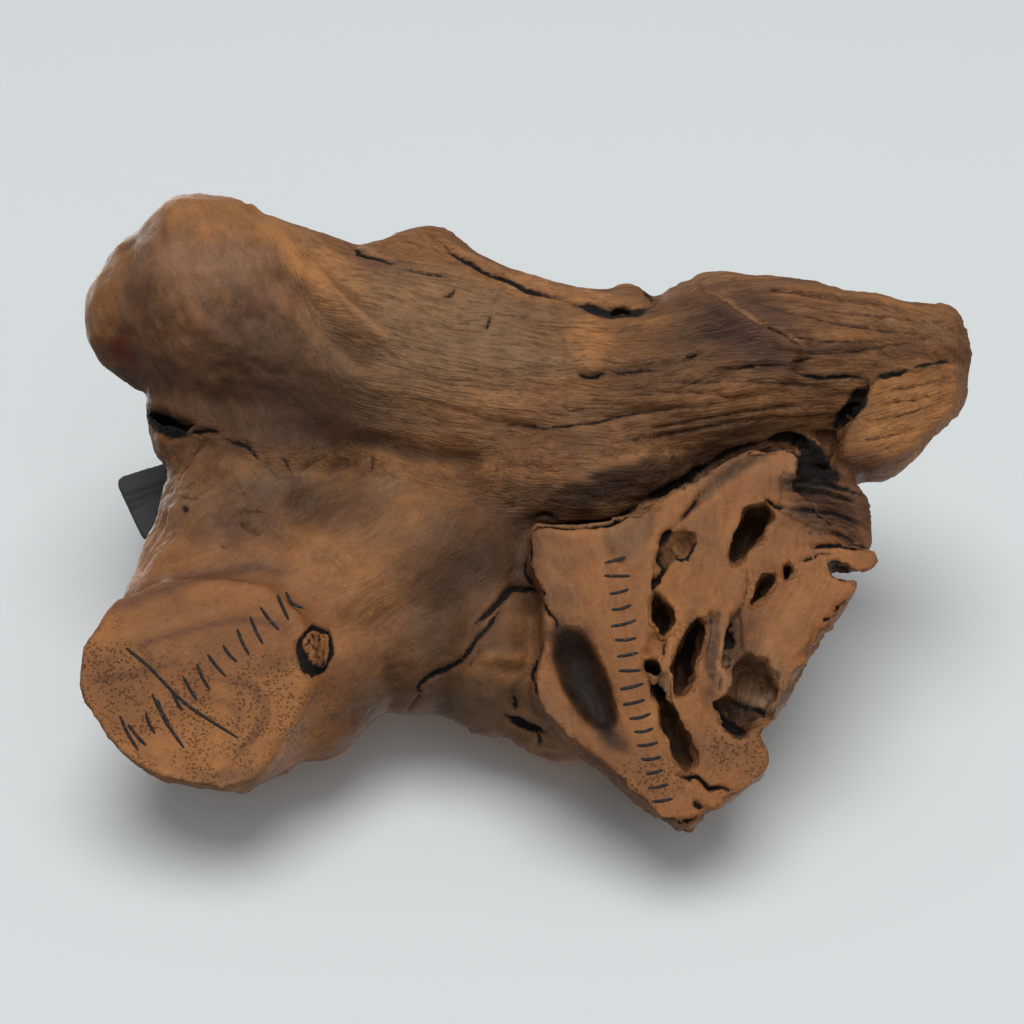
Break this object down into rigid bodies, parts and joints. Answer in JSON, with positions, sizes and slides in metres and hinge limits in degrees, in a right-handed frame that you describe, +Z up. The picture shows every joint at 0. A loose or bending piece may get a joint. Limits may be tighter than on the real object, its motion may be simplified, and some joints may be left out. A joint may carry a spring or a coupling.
{
  "type": "carved wooden bird on a driftwood stand",
  "caption": "Life-size carved and painted songbird perched on a branching driftwood stand with sanded feet.",
  "frame": {"origin": "middle of the whole object's footprint, on the surface that it stands on", "axes": "+Z up, +X along the driftwood's longest limb towards its splintered tip, +Y towards the side with the two sanded feet"},
  "size_m": [0.1794, 0.1298, 0.1072],
  "materials": {
    "driftwood": "weathered and unvarnished, sanded flat at the feet",
    "bird_body": "carved, painted in slate grey and white",
    "legs": "dark painted wire",
    "eyes": "polished black bead"
  },
  "bodies": {
    "root": {"driftwood": "driftwood", "bird_body": "bird_body", "left_leg": "legs", "right_leg": "legs", "left_eye": "eyes", "right_eye": "eyes"}
  },
  "joints": []
}
